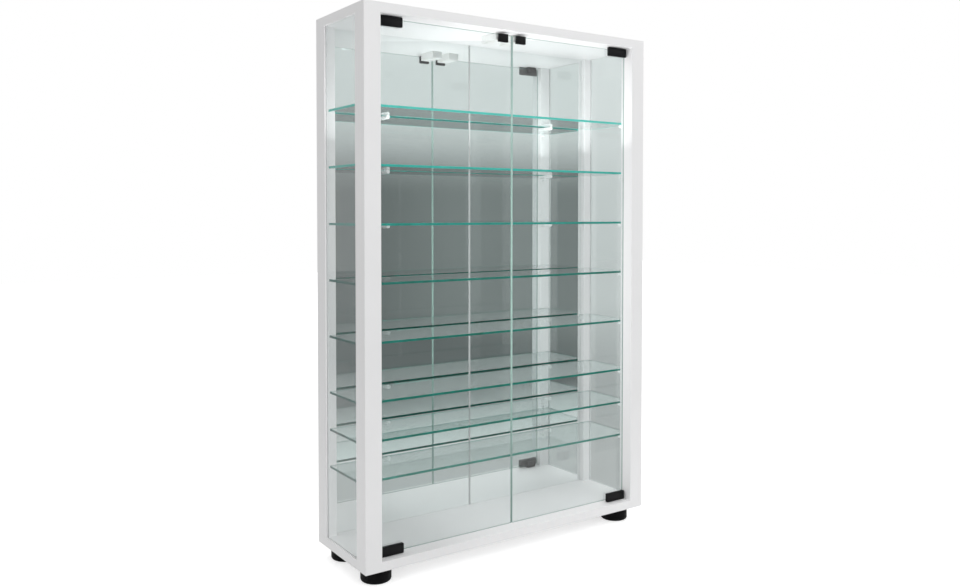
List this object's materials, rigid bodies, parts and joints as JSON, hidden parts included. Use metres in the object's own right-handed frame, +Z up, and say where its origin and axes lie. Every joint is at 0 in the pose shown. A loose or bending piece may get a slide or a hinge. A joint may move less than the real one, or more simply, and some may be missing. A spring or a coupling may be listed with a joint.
{
  "type": "display cabinet",
  "caption": "Slim upright display cabinet: white boards and posts, glass sides, mirrored back, glass shelves on pegs and two frameless glass doors with push latches.",
  "frame": {"origin": "on the floor, under the middle of the cabinet's footprint", "axes": "+Z up, +X to the right seen from the front, +Y towards the back; the doors face -Y"},
  "size_m": [0.6, 0.18, 0.93],
  "materials": {
    "white_board": "white matt foil on board",
    "grey_strip": "grey profile",
    "pane_glass": "clear float glass with ground edges",
    "shelf_glass": "clear float glass with green ground edges",
    "mirror": "silvered glass",
    "hardboard": "bare brown hardboard",
    "clear_plastic": "clear moulded plastic",
    "black_rubber": "black soft pad",
    "black_metal": "black satin paint",
    "black_plastic": "black moulded plastic",
    "white_plastic": "white moulded plastic",
    "plated_steel": "zinc plated",
    "dark_steel": "blackened steel",
    "dowel_wood": "bare beech"
  },
  "bodies": {
    "carcass": {"top_board": "white_board", "bottom_board": "white_board", "back_joint_strip": "grey_strip", "carcass_dowels": "dowel_wood", "bottom_screws": "plated_steel", "top_screws": "plated_steel", "screw_caps": "white_plastic", "foot_screws": "plated_steel", "pivot_bushes": "white_plastic", "latch_screws": "plated_steel", "shelf_1": "shelf_glass", "shelf_2": "shelf_glass", "shelf_3": "shelf_glass", "shelf_4": "shelf_glass", "shelf_5": "shelf_glass", "shelf_6": "shelf_glass", "shelf_7": "shelf_glass", "shelf_8": "shelf_glass", "left_front_post": "white_board", "left_rear_post": "white_board", "left_side_pane": "pane_glass", "left_mirror": "mirror", "left_back_board": "hardboard", "left_shelf_pegs": "clear_plastic", "front_left_foot": "black_plastic", "rear_left_foot": "black_plastic", "left_latch_housing": "white_plastic", "left_latch_spring": "plated_steel", "right_front_post": "white_board", "right_rear_post": "white_board", "right_side_pane": "pane_glass", "right_mirror": "mirror", "right_back_board": "hardboard", "right_shelf_pegs": "clear_plastic", "front_right_foot": "black_plastic", "rear_right_foot": "black_plastic", "right_latch_housing": "white_plastic", "right_latch_spring": "plated_steel"},
    "left_door": {"left_upper_hinge": "black_metal", "left_lower_hinge": "black_metal", "left_hinge_pads": "black_rubber", "left_hinge_screws": "dark_steel", "left_hinge_pins": "plated_steel", "left_door_glass": "pane_glass", "left_strike_clip": "black_metal"},
    "right_door": {"right_upper_hinge": "black_metal", "right_lower_hinge": "black_metal", "right_hinge_pads": "black_rubber", "right_hinge_screws": "dark_steel", "right_hinge_pins": "plated_steel", "right_door_glass": "pane_glass", "right_strike_clip": "black_metal"},
    "left_latch": {"left_latch_plunger": "white_plastic", "left_latch_magnet": "dark_steel"},
    "right_latch": {"right_latch_plunger": "white_plastic", "right_latch_magnet": "dark_steel"}
  },
  "joints": [
    {"name": "left_door_swing", "type": "hinge", "parent": "carcass", "child": "left_door", "pos_m": [-0.263, -0.0734, 0.478], "axis": [0, 0, -1], "range_deg": [0, 95]},
    {"name": "right_door_swing", "type": "hinge", "parent": "carcass", "child": "right_door", "pos_m": [0.263, -0.0734, 0.478], "axis": [0, 0, 1], "range_deg": [0, 95]},
    {"name": "left_latch_push", "type": "slide", "parent": "carcass", "child": "left_latch", "axis": [0, 1, 0], "range_m": [0, 0.003], "stiffness_N_per_m": 400, "springref_m": -0.003, "deforming": ["left_latch_spring"]},
    {"name": "right_latch_push", "type": "slide", "parent": "carcass", "child": "right_latch", "axis": [0, 1, 0], "range_m": [0, 0.003], "stiffness_N_per_m": 400, "springref_m": -0.003, "deforming": ["right_latch_spring"]}
  ]
}
